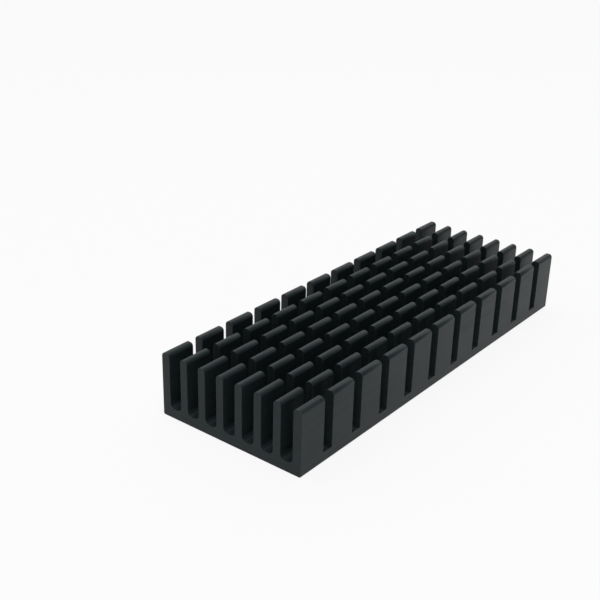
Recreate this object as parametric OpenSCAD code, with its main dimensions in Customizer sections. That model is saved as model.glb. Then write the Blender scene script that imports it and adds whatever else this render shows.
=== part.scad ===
// Cross-cut finned heat sink, one piece of black anodised aluminium.
// A comb section is extruded along the fins, and saw cuts across the fins part them into posts.
// Lengths are in millimetres. X runs along the fins, Y across them, and Z up from the mounting face.
// The origin is the middle of the mounting face.

/* [Extrusion] */
// Length of the piece sawn from the bar, along the fins
sink_length = 70; // [20:0.5:200]
// Height from the mounting face to the fin tips
sink_height = 10; // [6:0.5:30]
// Thickness of the base plate under the channels
base_thickness = 1.5; // [1:0.1:4]
// Number of fins across the width
fin_count = 8; // [3:1:16]
// Thickness of each inner fin
inner_fin = 1.25; // [1:0.05:3]
// Thickness of the fin along each long side
outer_fin = 1.4; // [1:0.05:3]
// Clear width of the channel between two fins
channel_width = 2.1; // [1.7:0.1:6]

/* [Rounded edges] */
// Radius of the fillets where the fins rise from the channel floor
root_radius = 0.8; // [0.2:0.05:1]
// Radius along both edges of each fin tip
tip_radius = 0.55; // [0.1:0.05:0.6]
// Radius along the two long edges of the mounting face
foot_radius = 0.25; // [0.1:0.05:1]

/* [Saw cuts] */
// Width of each saw cut across the fins
cut_width = 1.9; // [0.8:0.1:4]
// Distance from one saw cut to the next
cut_pitch = 6.5; // [4.5:0.1:15]
// Height above the channel floor at which the saw stops
saw_rise = 0.1; // [0.05:0.05:2]

/* [Hidden] */
$fn = 48;

anodised_black = [0.16, 0.17, 0.17];

// Largest part of a wall or channel that one rounding may take
rounding_share = 0.48;
root = min(root_radius, rounding_share * channel_width);
tip = min(tip_radius, rounding_share * min(inner_fin, outer_fin));
foot = min(foot_radius, rounding_share * base_thickness);

// How far a cutter runs past the face that it opens
overrun = 1;

// Width over all fins, and the distance from one channel to the next
channel_count = fin_count - 1;
sink_width = 2 * outer_fin + (fin_count - 2) * inner_fin + channel_count * channel_width;
channel_pitch = inner_fin + channel_width;

// As many cuts as leave at least half an inner block at each end, centred along the length
cut_count = floor(sink_length / cut_pitch);
end_block = (sink_length - (cut_count - 1) * cut_pitch - cut_width) / 2;
cut_floor = base_thickness + saw_rise;

// Left side of a channel, counted from zero, in the comb section
function channel_left(i) = -sink_width / 2 + outer_fin + i * channel_pitch;

// Near side of a saw cut, counted from zero, along the sink
function cut_start(i) = -sink_length / 2 + end_block + i * cut_pitch;

// What a rounding takes off a square corner at the origin, with the metal above and to the right
module corner_waste(radius) {
    difference() {
        translate([-overrun, -overrun]) square(radius + overrun);
        translate([radius, radius]) circle(radius);
    }
}

// One channel with its floor at zero and its two lower corners rounded, open at the top
module channel_section() {
    depth = sink_height - base_thickness + overrun;
    translate([0, root]) square([channel_width, depth - root]);
    translate([root, 0]) square([channel_width - 2 * root, depth]);
    for (x = [root, channel_width - root]) {
        translate([x, root]) circle(root);
    }
}

// The waste at both edges of the fin tip that reaches from one side to the other
module tip_waste(left, right) {
    translate([left, sink_height]) mirror([0, 1]) corner_waste(tip);
    translate([right, sink_height]) rotate(180) corner_waste(tip);
}

// The waste at the two long edges of the mounting face
module foot_waste() {
    for (side = [0, 1]) {
        mirror([side, 0]) translate([-sink_width / 2, 0]) corner_waste(foot);
    }
}

// The extruded comb: base plate, fins with rounded tips, and channels with rounded floors
module comb_section() {
    difference() {
        translate([-sink_width / 2, 0]) square([sink_width, sink_height]);
        foot_waste();
        for (i = [0 : channel_count - 1]) {
            translate([channel_left(i), base_thickness]) channel_section();
        }
        tip_waste(-sink_width / 2, channel_left(0));
        for (i = [1 : channel_count - 1]) {
            tip_waste(channel_left(i) - inner_fin, channel_left(i));
        }
        tip_waste(sink_width / 2 - outer_fin, sink_width / 2);
    }
}

// One saw cut across all the fins, from the floor of the cut up past the fin tips
module saw_cut() {
    translate([0, -sink_width / 2 - overrun, cut_floor]) {
        cube([cut_width, sink_width + 2 * overrun, sink_height - cut_floor + overrun]);
    }
}

module heat_sink() {
    color(anodised_black) difference() {
        rotate([90, 0, 90]) linear_extrude(sink_length, center = true) comb_section();
        for (i = [0 : cut_count - 1]) {
            translate([cut_start(i), 0, 0]) saw_cut();
        }
    }
}

heat_sink();
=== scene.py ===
"""A cross-cut heat sink in black anodised aluminium, with its stage, laid out as a Blender add-on."""

import math
from collections import namedtuple

import bmesh
import bpy
from bpy.props import FloatProperty, FloatVectorProperty, IntProperty, PointerProperty
from mathutils import Matrix, Vector


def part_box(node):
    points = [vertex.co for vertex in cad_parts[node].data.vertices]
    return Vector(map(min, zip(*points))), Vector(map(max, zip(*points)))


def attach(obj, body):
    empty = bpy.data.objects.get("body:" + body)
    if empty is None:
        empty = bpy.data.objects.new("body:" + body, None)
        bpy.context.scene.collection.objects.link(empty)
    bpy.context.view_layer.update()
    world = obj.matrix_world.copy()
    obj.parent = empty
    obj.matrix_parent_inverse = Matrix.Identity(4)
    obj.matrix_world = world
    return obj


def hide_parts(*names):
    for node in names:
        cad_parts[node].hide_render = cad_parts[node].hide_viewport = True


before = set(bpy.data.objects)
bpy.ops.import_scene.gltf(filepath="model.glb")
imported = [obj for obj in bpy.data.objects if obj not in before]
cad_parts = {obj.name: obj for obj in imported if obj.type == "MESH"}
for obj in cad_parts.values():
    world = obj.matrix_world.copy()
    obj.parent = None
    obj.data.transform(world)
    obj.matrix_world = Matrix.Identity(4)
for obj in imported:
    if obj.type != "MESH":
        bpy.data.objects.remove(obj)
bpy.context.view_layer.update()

bl_info = {
    "name": "Cross-cut heat sink",
    "version": (1, 0, 0),
    "blender": (4, 5, 0),
    "location": "View3D > Sidebar > Heat sink",
    "description": "Builds a finned, cross-cut heat sink in black anodised aluminium and its stage",
    "category": "Add Mesh",
}

MM = 0.001
MICRON = 0.000001
# Decimals of a metre that the sidebar shows for lengths, and for the depths of fine marks
LENGTH_DIGITS = 5
DEPTH_DIGITS = 6
# Top of any setting that runs from zero to one, such as a weight, a share or a strength
FULL = 1.0
WHITE = (FULL, FULL, FULL)

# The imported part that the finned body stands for
SINK_NODE = "heat_sink"
SINK_BODY = "root"
sink_low, sink_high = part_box(SINK_NODE)
sink_size = sink_high - sink_low

# Directions in the comb section, in degrees
RIGHT, UP, LEFT, DOWN = 0, 90, 180, -90
# Steps along a quarter turn of each rounding in the comb section
TIP_STEPS = 8
ROOT_STEPS = 9
FOOT_STEPS = 5
# Two faces that meet at more than this angle form an edge
EDGE_ANGLE = math.radians(20)
EDGE_BREAK_STEPS = 2

# Order of the materials on the finned body
EXTRUDED, SAWN, EDGE = range(3)


class HeatSinkShape(bpy.types.PropertyGroup):
    """Sizes of the extruded comb and of the saw cuts across it"""

    length: FloatProperty(
        name="Length", description="Length along the fins", default=sink_size.x, unit="LENGTH"
    )
    width: FloatProperty(
        name="Width", description="Width across all fins", default=sink_size.y, unit="LENGTH"
    )
    height: FloatProperty(
        name="Height", description="Mounting face to fin tips", default=sink_size.z, unit="LENGTH"
    )
    base_thickness: FloatProperty(
        name="Base thickness",
        description="Thickness of the base plate under the channels",
        default=1.5 * MM,
        precision=LENGTH_DIGITS,
        unit="LENGTH",
    )
    fin_count: IntProperty(
        name="Fins", description="Number of fins across the width", default=8, min=3
    )
    inner_fin: FloatProperty(
        name="Inner fin",
        description="Thickness of each inner fin",
        default=1.25 * MM,
        precision=LENGTH_DIGITS,
        unit="LENGTH",
    )
    outer_fin: FloatProperty(
        name="Outer fin",
        description="Thickness of the fin along each long side",
        default=1.4 * MM,
        precision=LENGTH_DIGITS,
        unit="LENGTH",
    )
    root_radius: FloatProperty(
        name="Root radius",
        description="Radius where the fins rise from the channel floor",
        default=0.8 * MM,
        precision=LENGTH_DIGITS,
        unit="LENGTH",
    )
    tip_radius: FloatProperty(
        name="Tip radius",
        description="Radius along both edges of each fin tip",
        default=0.55 * MM,
        precision=LENGTH_DIGITS,
        unit="LENGTH",
    )
    foot_radius: FloatProperty(
        name="Foot radius",
        description="Radius along the two long edges of the mounting face",
        default=0.25 * MM,
        precision=LENGTH_DIGITS,
        unit="LENGTH",
    )
    cut_width: FloatProperty(
        name="Cut width",
        description="Width of each saw cut across the fins",
        default=1.9 * MM,
        precision=LENGTH_DIGITS,
        unit="LENGTH",
    )
    cut_pitch: FloatProperty(
        name="Cut pitch",
        description="Distance from one saw cut to the next",
        default=6.5 * MM,
        precision=LENGTH_DIGITS,
        unit="LENGTH",
    )
    saw_rise: FloatProperty(
        name="Saw rise",
        description="Height above the channel floor at which the saw stops",
        default=0.1 * MM,
        precision=LENGTH_DIGITS,
        unit="LENGTH",
    )
    edge_break: FloatProperty(
        name="Edge break",
        description="Width of the small bevel that tumbling leaves on sawn edges",
        default=0.025 * MM,
        precision=LENGTH_DIGITS,
        unit="LENGTH",
    )


class HeatSinkFinish(bpy.types.PropertyGroup):
    """Colours and texture of the anodised film"""

    film_colour: FloatVectorProperty(
        name="Film colour",
        description="Dyed film on the extruded and sawn faces",
        subtype="COLOR",
        size=3,
        default=(0.0182, 0.0260, 0.0284),
    )
    edge_colour: FloatVectorProperty(
        name="Edge colour",
        description="Thinner film on the broken edges",
        subtype="COLOR",
        size=3,
        default=(0.0355, 0.0480, 0.0510),
    )
    film_roughness: FloatProperty(
        name="Film roughness",
        description="Roughness of the etched and anodised surface",
        subtype="FACTOR",
        default=0.34,
        min=0,
        max=1,
    )
    film_index: FloatProperty(
        name="Film index", description="Refractive index of the porous film", default=1.245, min=1
    )
    die_line_depth: FloatProperty(
        name="Die line depth",
        description="Height of the lines that the die leaves along the fins",
        default=3.0 * MICRON,
        precision=DEPTH_DIGITS,
        unit="LENGTH",
    )
    saw_mark_depth: FloatProperty(
        name="Saw mark depth",
        description="Height of the arcs that the saw leaves on cut faces",
        default=4.0 * MICRON,
        precision=DEPTH_DIGITS,
        unit="LENGTH",
    )
    blade_radius: FloatProperty(
        name="Blade radius",
        description="Radius of the saw blade, which bends the saw marks",
        default=60 * MM,
        unit="LENGTH",
    )


class HeatSinkStage(bpy.types.PropertyGroup):
    """Floor, light and camera"""

    floor_colour: FloatVectorProperty(
        name="Floor", description="Pale floor", subtype="COLOR", size=3, default=(0.85, 0.85, 0.85)
    )
    floor_veil: FloatProperty(
        name="Floor veil",
        description="Share of plain white in the floor as the camera shows it",
        subtype="FACTOR",
        default=0.85,
        min=0,
        max=1,
    )
    gloss_veil: FloatProperty(
        name="Gloss veil",
        description="Share of plain white in the floor as gloss and glass show it",
        subtype="FACTOR",
        default=0.50,
        min=0,
        max=1,
    )
    horizon_colour: FloatVectorProperty(
        name="Horizon",
        description="Foot of the walls",
        subtype="COLOR",
        size=3,
        default=(0.60, 0.60, 0.60),
    )
    wall_colour: FloatVectorProperty(
        name="Walls",
        description="Pale walls and ceiling",
        subtype="COLOR",
        size=3,
        default=(0.97, 0.97, 0.97),
    )
    dim_side: FloatProperty(
        name="Dim side",
        description="Light from the camera's side of the studio as a share of that from the far side",
        subtype="FACTOR",
        default=0.12,
        min=0,
        max=1,
    )
    key_power: FloatProperty(
        name="Key lamp", description="Power of the large soft lamp", default=6.2, unit="POWER"
    )
    camera_place: FloatVectorProperty(
        name="Camera place",
        description="Where the camera stands",
        subtype="TRANSLATION",
        unit="LENGTH",
        size=3,
        default=(-125.4 * MM, -82.1 * MM, 78.2 * MM),
    )
    camera_target: FloatVectorProperty(
        name="Camera target",
        description="Point at the middle of the picture",
        subtype="TRANSLATION",
        unit="LENGTH",
        size=3,
        default=(-4.77 * MM, 11.87 * MM, 7.65 * MM),
    )
    camera_roll: FloatProperty(
        name="Camera roll",
        description="How far the camera leans about its own axis",
        subtype="ANGLE",
        default=math.radians(1.45),
    )
    camera_lens: FloatProperty(
        name="Lens", description="Focal length", default=62.87, unit="CAMERA"
    )


def arc_points(centre, radius, start, end, steps):
    """Points of the section along an arc from one direction to another, both ends included."""
    points = []
    for step in range(steps + 1):
        angle = math.radians(start + (end - start) * step / steps)
        points.append((centre[0] + radius * math.cos(angle), centre[1] + radius * math.sin(angle)))
    return points


def mirrored(points, middle):
    """The same points on the other side of an upright line, in the opposite order."""
    return [(2 * middle - y, z) for y, z in reversed(points)]


def fin_sides(shape):
    """Left and right side of each fin across the sink."""
    thicknesses = [shape.inner_fin] * shape.fin_count
    thicknesses[0] = thicknesses[-1] = shape.outer_fin
    channel_width = (shape.width - sum(thicknesses)) / (shape.fin_count - 1)
    sides = []
    left = -shape.width / 2
    for thickness in thicknesses:
        sides.append((left, left + thickness))
        left += thickness + channel_width
    return sides


def channel_wall(left, shape):
    """Points up the left side of a fin from the channel floor, and how many lie below the saw cuts."""
    root = shape.root_radius
    centre = (left - root, shape.base_thickness + root)
    cut_angle = math.degrees(math.asin((shape.saw_rise - root) / root))
    low_steps = max(1, round(ROOT_STEPS * (cut_angle - DOWN) / (RIGHT - DOWN)))
    low = arc_points(centre, root, DOWN, cut_angle, low_steps)
    high = arc_points(centre, root, cut_angle, RIGHT, ROOT_STEPS - low_steps)
    return low[:-1] + high, low_steps


def comb_section(shape):
    """Outline of the comb as (y, z) points, over the fins from left to right and back under the base.

    Also gives, for each fin, the numbers of the points where the saw cuts meet its two sides.
    """
    cut_floor = shape.base_thickness + shape.saw_rise
    tip = shape.tip_radius
    points = []
    stumps = []
    for fin, (left, right) in enumerate(fin_sides(shape)):
        wall, below_cut = channel_wall(left, shape)
        outer_wall = [(left, cut_floor)]
        half_tip = arc_points((left + tip, shape.height - tip), tip, LEFT, UP, TIP_STEPS)
        middle = (left + right) / 2
        first_fin = fin == 0
        last_fin = fin == shape.fin_count - 1
        rise = (outer_wall if first_fin else wall) + half_tip
        fall = mirrored((outer_wall if last_fin else wall) + half_tip, middle)
        first = len(points) + (0 if first_fin else below_cut)
        points += rise + fall
        last = len(points) - 1 - (0 if last_fin else below_cut)
        stumps.append((first, last))
    foot = shape.foot_radius
    right_foot = arc_points((shape.width / 2 - foot, foot), foot, RIGHT, DOWN, FOOT_STEPS)
    points += right_foot + mirrored(right_foot, middle=0)
    return points, stumps


def block_stations(shape):
    """Places along the sink where the blocks between the saw cuts begin and end, in order."""
    cut_count = int(shape.length / shape.cut_pitch)
    end_block = (shape.length - (cut_count - 1) * shape.cut_pitch - shape.cut_width) / 2
    stations = [-shape.length / 2]
    for cut in range(cut_count):
        start = -shape.length / 2 + end_block + cut * shape.cut_pitch
        stations += [start, start + shape.cut_width]
    stations.append(shape.length / 2)
    return stations


def mark_edges(bm):
    """Weight the outer sawn edges for their small bevel, and keep the other edges crisp."""
    weight = bm.edges.layers.float.new("bevel_weight_edge")
    for edge in bm.edges:
        if edge.calc_face_angle() < EDGE_ANGLE:
            continue
        finishes = {face.material_index for face in edge.link_faces}
        if edge.is_convex and finishes == {EXTRUDED, SAWN}:
            edge[weight] = FULL
        else:
            edge.smooth = False


def sink_mesh(shape):
    """The closed mesh of the sink: the comb at each station, sawn faces across it and cut floors."""
    points, stumps = comb_section(shape)
    count = len(points)
    on_fins = {point for first, last in stumps for point in range(first, last)}
    inside_fins = {point for first, last in stumps for point in range(first + 1, last)}
    bm = bmesh.new()
    rings = [[bm.verts.new((x, y, z)) for y, z in points] for x in block_stations(shape)]

    def add_face(corners, finish):
        face = bm.faces.new(corners)
        face.material_index = finish
        face.smooth = True

    for number, (near, far) in enumerate(zip(rings, rings[1:])):
        is_cut = number % 2 == 1
        for this in range(count):
            following = (this + 1) % count
            if not (is_cut and this in on_fins):
                add_face((near[this], near[following], far[following], far[this]), EXTRUDED)
        if is_cut:
            for first, last in stumps:
                add_face((near[first], near[last], far[last], far[first]), SAWN)
    for ring in rings:
        for first, last in stumps:
            add_face(ring[first : last + 1], SAWN)
    for ring in (rings[0], rings[-1]):
        add_face([ring[point] for point in range(count) if point not in inside_fins], SAWN)

    bmesh.ops.recalc_face_normals(bm, faces=bm.faces)
    mark_edges(bm)
    mesh = bpy.data.meshes.new("heat_sink_body")
    bm.to_mesh(mesh)
    bm.free()
    return mesh


def opaque(colour):
    """A colour with full alpha, as sockets and ramp stops take it."""
    return (*colour, FULL)


def add_node(tree, kind, inputs=None, **settings):
    """A new node with its settings, and with each input set to a value or linked from a socket."""
    node = tree.nodes.new(kind)
    for name, value in settings.items():
        setattr(node, name, value)
    for name, value in (inputs or {}).items():
        if isinstance(value, bpy.types.NodeSocket):
            tree.links.new(value, node.inputs[name])
        else:
            node.inputs[name].default_value = value
    return node


def maths(tree, operation, first, second):
    """Output of a Math node on two values or sockets."""
    return add_node(tree, "ShaderNodeMath", {0: first, 1: second}, operation=operation).outputs[0]


def new_group(name, inputs, outputs):
    """A new shader node group with named sockets, and its input and output nodes."""
    group = bpy.data.node_groups.new(name, "ShaderNodeTree")
    for socket, kind in inputs.items():
        group.interface.new_socket(socket, in_out="INPUT", socket_type=kind)
    for socket, kind in outputs.items():
        group.interface.new_socket(socket, in_out="OUTPUT", socket_type=kind)
    return group, group.nodes.new("NodeGroupInput").outputs, group.nodes.new("NodeGroupOutput").inputs


def use_group(tree, group, inputs):
    """Outputs of a node that places a group in a material, with the material's own values."""
    return add_node(tree, "ShaderNodeGroup", inputs, node_tree=group).outputs


# Noise cells per metre, and what the noise does to the film
CLOUDS_PER_METRE = 180.0
MOTTLES_PER_METRE = 500.0
NOISE_DETAIL = 1.0
NOISE_MIDDLE = 0.5
CLOUDINESS = 0.30
LINE_CONTRAST = 0.50
MOTTLING = 0.08
# Tool lines side by side in a metre, and how often they change along a metre of their run
DIE_LINES_PER_METRE = 2000.0
DIE_RUNS_PER_METRE = 25.0
SAW_LINES_PER_METRE = 2200.0
SAW_RUNS_PER_METRE = 400.0
# A lighter place in the film is also a little smoother
SHADE_TO_ROUGHNESS = -0.3

# What a tool leaves in the metal. Only the marks of a saw have a blade radius.
ToolMarks = namedtuple("ToolMarks", ["lines_per_metre", "runs_per_metre", "depth", "blade_radius"])


def noise(tree, vector, cells_per_unit=1.0):
    """Soft noise with a number of cells per unit of the vector."""
    inputs = {"Vector": vector, "Scale": cells_per_unit, "Detail": NOISE_DETAIL}
    return add_node(tree, "ShaderNodeTexNoise", inputs).outputs["Fac"]


def swing(tree, value, contrast):
    """Noise moved so that it swings about zero, times a contrast."""
    return maths(tree, "MULTIPLY", maths(tree, "SUBTRACT", value, NOISE_MIDDLE), contrast)


def tool_lines_group():
    """Fine lines along the first axis of a vector, which change slowly along their run."""
    group, given, result = new_group(
        "tool_lines",
        {
            "Vector": "NodeSocketVector",
            "Lines per metre": "NodeSocketFloat",
            "Runs per metre": "NodeSocketFloat",
        },
        {"Lines": "NodeSocketFloat"},
    )
    axes = add_node(group, "ShaderNodeSeparateXYZ", {"Vector": given["Vector"]}).outputs
    stretched = add_node(
        group,
        "ShaderNodeCombineXYZ",
        {
            "X": maths(group, "MULTIPLY", axes["X"], given["Runs per metre"]),
            "Y": maths(group, "MULTIPLY", axes["Y"], given["Lines per metre"]),
            "Z": maths(group, "MULTIPLY", axes["Z"], given["Lines per metre"]),
        },
    )
    group.links.new(noise(group, stretched.outputs["Vector"]), result["Lines"])
    return group


def etched_film_group():
    """The satin film: slow changes of shade, mottled gloss and tool lines over a plain colour."""
    group, given, result = new_group(
        "etched_film",
        {
            "Vector": "NodeSocketVector",
            "Lines": "NodeSocketFloat",
            "Colour": "NodeSocketColor",
            "Roughness": "NodeSocketFloat",
            "Cloudiness": "NodeSocketFloat",
            "Line contrast": "NodeSocketFloat",
            "Mottling": "NodeSocketFloat",
        },
        {"Colour": "NodeSocketColor", "Roughness": "NodeSocketFloat", "Height": "NodeSocketFloat"},
    )
    clouds = swing(group, noise(group, given["Vector"], CLOUDS_PER_METRE), given["Cloudiness"])
    lines = swing(group, given["Lines"], given["Line contrast"])
    mottles = swing(group, noise(group, given["Vector"], MOTTLES_PER_METRE), given["Mottling"])
    change = maths(group, "ADD", clouds, lines)
    tinted = add_node(
        group,
        "ShaderNodeVectorMath",
        {0: given["Colour"], "Scale": maths(group, "ADD", change, FULL)},
        operation="SCALE",
    )
    polish = maths(group, "MULTIPLY", change, SHADE_TO_ROUGHNESS)
    roughness = maths(group, "ADD", given["Roughness"], maths(group, "ADD", mottles, polish))
    group.links.new(tinted.outputs["Vector"], result["Colour"])
    group.links.new(roughness, result["Roughness"])
    group.links.new(given["Lines"], result["Height"])
    return group


def blade_arcs(tree, place, blade_radius):
    """Vector whose lines are arcs about the middle of the saw blade."""
    axes = add_node(tree, "ShaderNodeSeparateXYZ", {"Vector": place}).outputs
    height = maths(tree, "SUBTRACT", axes["Z"], blade_radius)
    flat = add_node(tree, "ShaderNodeCombineXYZ", {"X": axes["Y"], "Y": height}).outputs["Vector"]
    radius = add_node(tree, "ShaderNodeVectorMath", {0: flat}, operation="LENGTH").outputs["Value"]
    return add_node(tree, "ShaderNodeCombineXYZ", {"X": axes["X"], "Y": radius}).outputs["Vector"]


def film_material(name, groups, finish, colour, marks):
    """A material of the dyed film over the marks of a tool, which run along the fins or in arcs."""
    material = bpy.data.materials.new(name)
    material.use_nodes = True
    tree = material.node_tree
    shader = tree.nodes["Principled BSDF"]
    place = add_node(tree, "ShaderNodeTexCoord").outputs["Object"]
    lines = use_group(
        tree,
        groups["tool_lines"],
        {
            "Vector": blade_arcs(tree, place, marks.blade_radius) if marks.blade_radius else place,
            "Lines per metre": marks.lines_per_metre,
            "Runs per metre": marks.runs_per_metre,
        },
    )
    film = use_group(
        tree,
        groups["etched_film"],
        {
            "Vector": place,
            "Lines": lines["Lines"],
            "Colour": opaque(colour),
            "Roughness": finish.film_roughness,
            "Cloudiness": CLOUDINESS,
            "Line contrast": LINE_CONTRAST,
            "Mottling": MOTTLING,
        },
    )
    bump = add_node(
        tree, "ShaderNodeBump", {"Height": film["Height"], "Distance": marks.depth, "Strength": FULL}
    )
    tree.links.new(film["Colour"], shader.inputs["Base Color"])
    tree.links.new(film["Roughness"], shader.inputs["Roughness"])
    tree.links.new(bump.outputs["Normal"], shader.inputs["Normal"])
    shader.inputs["IOR"].default_value = finish.film_index
    return material


def film_materials(finish):
    """The materials of the finned body, in the order that its faces number them."""
    groups = {"tool_lines": tool_lines_group(), "etched_film": etched_film_group()}
    die_lines = ToolMarks(
        DIE_LINES_PER_METRE, DIE_RUNS_PER_METRE, finish.die_line_depth, blade_radius=None
    )
    saw_marks = ToolMarks(
        SAW_LINES_PER_METRE, SAW_RUNS_PER_METRE, finish.saw_mark_depth, finish.blade_radius
    )
    return [
        film_material("extruded_film", groups, finish, finish.film_colour, die_lines),
        film_material("sawn_film", groups, finish, finish.film_colour, saw_marks),
        film_material("edge_film", groups, finish, finish.edge_colour, die_lines),
    ]


class HEAT_SINK_OT_add_body(bpy.types.Operator):
    """Build the finned body with its saw cuts, and give it the anodised film"""

    bl_idname = "heat_sink.add_body"
    bl_label = "Add finned body"

    def execute(self, context):
        shape = context.scene.heat_sink_shape
        body = bpy.data.objects.new("heat_sink_body", sink_mesh(shape))
        context.collection.objects.link(body)
        for material in film_materials(context.scene.heat_sink_finish):
            body.data.materials.append(material)
        broken = body.modifiers.new("edge_break", "BEVEL")
        broken.limit_method = "WEIGHT"
        broken.width = shape.edge_break
        broken.segments = EDGE_BREAK_STEPS
        broken.material = EDGE
        body.modifiers.new("flat_faces", "WEIGHTED_NORMAL").keep_sharp = True
        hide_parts(SINK_NODE)
        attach(body, SINK_BODY)
        return {"FINISHED"}


# Radius of the flat floor, and how far its edge sweeps out and up
FLOOR_RADIUS = 0.5
SWEEP_REACH = 1.0
SWEEP_RISE = 0.20
SWEEP_STEPS = 12
FLOOR_SIDES = 96
# The floor lies this far under the mounting face, so that the two never share a plane
FLOOR_GAP = 0.02 * MM
# Sine of the height above the horizon from which the walls of the studio have their full shade
WALL_HEIGHT = 0.42
# Level direction from the sink to the bright side of the studio, and how far along it the light fades
BRIGHT_SIDE = (0.50, 0.87, 0.0)
DIM_FROM = -0.3
BRIGHT_FROM = 0.5
# Where the key lamp stands, the middle of the mounting face, which it looks at, and its width
KEY_PLACE = (-0.18, -0.20, 1.1)
KEY_TARGET = (0, 0, 0)
KEY_SIZE = 0.40


def aim(place, target, roll=0.0):
    """Matrix of a lamp or camera that stands at one point and looks at another."""
    view = Vector(target) - Vector(place)
    turn = view.to_track_quat("-Z", "Y").to_matrix().to_4x4()
    return Matrix.Translation(place) @ turn @ Matrix.Rotation(roll, 4, "Z")


def floor_material(stage):
    """Pale matt floor, seen partly as plain white by the camera and in gloss."""
    material = bpy.data.materials.new("pale_floor")
    material.use_nodes = True
    tree = material.node_tree
    tree.nodes.clear()
    path = add_node(tree, "ShaderNodeLightPath").outputs
    gloss_or_glass = maths(tree, "MAXIMUM", path["Is Glossy Ray"], path["Is Transmission Ray"])
    seen_white = maths(tree, "MULTIPLY", path["Is Camera Ray"], stage.floor_veil)
    mirrored_white = maths(tree, "MULTIPLY", gloss_or_glass, stage.gloss_veil)
    share = maths(tree, "MAXIMUM", seen_white, mirrored_white)
    matt = add_node(tree, "ShaderNodeBsdfDiffuse", {"Color": opaque(stage.floor_colour)})
    white = add_node(tree, "ShaderNodeEmission", {"Color": opaque(WHITE), "Strength": FULL})
    mixed = add_node(
        tree, "ShaderNodeMixShader", {0: share, 1: matt.outputs[0], 2: white.outputs[0]}
    )
    add_node(tree, "ShaderNodeOutputMaterial", {"Surface": mixed.outputs[0]})
    return material


def add_floor(context, stage):
    """A wide round floor under the mounting face, whose edge sweeps up as a low backdrop."""
    points = []
    for step in range(SWEEP_STEPS + 1):
        share = step / SWEEP_STEPS
        radius = FLOOR_RADIUS + SWEEP_REACH * share
        for side in range(FLOOR_SIDES):
            angle = math.tau * side / FLOOR_SIDES
            points.append((radius * math.cos(angle), radius * math.sin(angle), SWEEP_RISE * share**2))
    faces = [tuple(range(FLOOR_SIDES))]
    for step in range(SWEEP_STEPS):
        ring = step * FLOOR_SIDES
        for side in range(FLOOR_SIDES):
            this = ring + side
            following = ring + (side + 1) % FLOOR_SIDES
            faces.append((this, this + FLOOR_SIDES, following + FLOOR_SIDES, following))
    mesh = bpy.data.meshes.new("floor")
    mesh.from_pydata(points, [], faces)
    mesh.shade_smooth()
    mesh.materials.append(floor_material(stage))
    floor = bpy.data.objects.new("floor", mesh)
    floor.location.z = sink_low.z - FLOOR_GAP
    context.collection.objects.link(floor)


def add_world(context, stage):
    """Soft light from pale walls and ceiling, dimmer at the horizon and on the camera's side."""
    world = bpy.data.worlds.new("studio")
    world.use_nodes = True
    tree = world.node_tree
    direction = add_node(tree, "ShaderNodeTexCoord").outputs["Generated"]
    height = add_node(tree, "ShaderNodeSeparateXYZ", {"Vector": direction}).outputs["Z"]
    shade = add_node(tree, "ShaderNodeValToRGB", {"Fac": height})
    stops = shade.color_ramp.elements
    stops[-1].position = WALL_HEIGHT
    for stop, colour in zip(stops, (stage.horizon_colour, stage.wall_colour)):
        stop.color = opaque(colour)
    facing = add_node(
        tree, "ShaderNodeVectorMath", {0: direction, 1: BRIGHT_SIDE}, operation="DOT_PRODUCT"
    ).outputs["Value"]
    level = add_node(
        tree,
        "ShaderNodeMapRange",
        {
            "Value": facing,
            "From Min": DIM_FROM,
            "From Max": BRIGHT_FROM,
            "To Min": stage.dim_side,
            "To Max": FULL,
        },
        interpolation_type="SMOOTHSTEP",
    )
    light = add_node(
        tree,
        "ShaderNodeVectorMath",
        {0: shade.outputs["Color"], "Scale": level.outputs["Result"]},
        operation="SCALE",
    )
    tree.links.new(light.outputs["Vector"], tree.nodes["Background"].inputs["Color"])
    context.scene.world = world


def add_lamp(context, stage):
    """The key lamp, large, soft and high over the sink."""
    light = bpy.data.lights.new("key_lamp", "AREA")
    light.shape = "DISK"
    light.size = KEY_SIZE
    light.energy = stage.key_power
    lamp = bpy.data.objects.new("key_lamp", light)
    lamp.matrix_world = aim(KEY_PLACE, KEY_TARGET)
    context.collection.objects.link(lamp)


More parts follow.
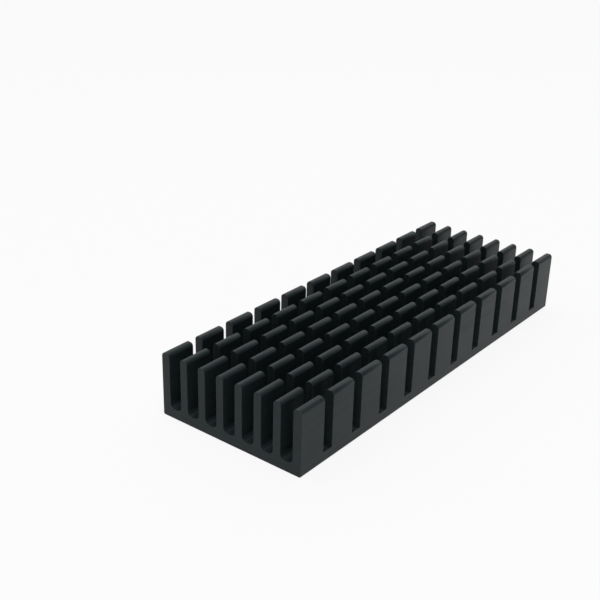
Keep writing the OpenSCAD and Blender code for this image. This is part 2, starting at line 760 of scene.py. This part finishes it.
def add_camera(context, stage):
    """The camera, at the photograph's angle."""
    data = bpy.data.cameras.new("camera")
    data.lens = stage.camera_lens
    camera = bpy.data.objects.new("camera", data)
    camera.matrix_world = aim(stage.camera_place, stage.camera_target, stage.camera_roll)
    context.collection.objects.link(camera)
    context.scene.camera = camera


class HEAT_SINK_OT_add_stage(bpy.types.Operator):
    """Add the pale floor, the soft light and the camera"""

    bl_idname = "heat_sink.add_stage"
    bl_label = "Add stage"

    def execute(self, context):
        stage = context.scene.heat_sink_stage
        add_floor(context, stage)
        add_world(context, stage)
        add_lamp(context, stage)
        add_camera(context, stage)
        context.scene.view_settings.view_transform = "Standard"
        return {"FINISHED"}


class VIEW3D_PT_heat_sink(bpy.types.Panel):
    """Sizes, finish and stage of the heat sink"""

    bl_label = "Heat sink"
    bl_space_type = "VIEW_3D"
    bl_region_type = "UI"
    bl_category = "Heat sink"

    def draw(self, context):
        scene = context.scene
        sections = [
            ("heat_sink.add_body", (scene.heat_sink_shape, scene.heat_sink_finish)),
            ("heat_sink.add_stage", (scene.heat_sink_stage,)),
        ]
        for operator, groups in sections:
            box = self.layout.box()
            box.operator(operator)
            for group in groups:
                for name in group.__annotations__:
                    box.prop(group, name)


CLASSES = (
    HeatSinkShape,
    HeatSinkFinish,
    HeatSinkStage,
    HEAT_SINK_OT_add_body,
    HEAT_SINK_OT_add_stage,
    VIEW3D_PT_heat_sink,
)


def register():
    """Register the classes and give each scene the settings."""
    for item in CLASSES:
        bpy.utils.register_class(item)
    bpy.types.Scene.heat_sink_shape = PointerProperty(type=HeatSinkShape)
    bpy.types.Scene.heat_sink_finish = PointerProperty(type=HeatSinkFinish)
    bpy.types.Scene.heat_sink_stage = PointerProperty(type=HeatSinkStage)


def unregister():
    """Take the settings and the classes away again."""
    del bpy.types.Scene.heat_sink_stage
    del bpy.types.Scene.heat_sink_finish
    del bpy.types.Scene.heat_sink_shape
    for item in reversed(CLASSES):
        bpy.utils.unregister_class(item)


def main():
    """Build the sink and its stage."""
    register()
    bpy.ops.heat_sink.add_body()
    bpy.ops.heat_sink.add_stage()


if __name__ == "__main__":
    main()
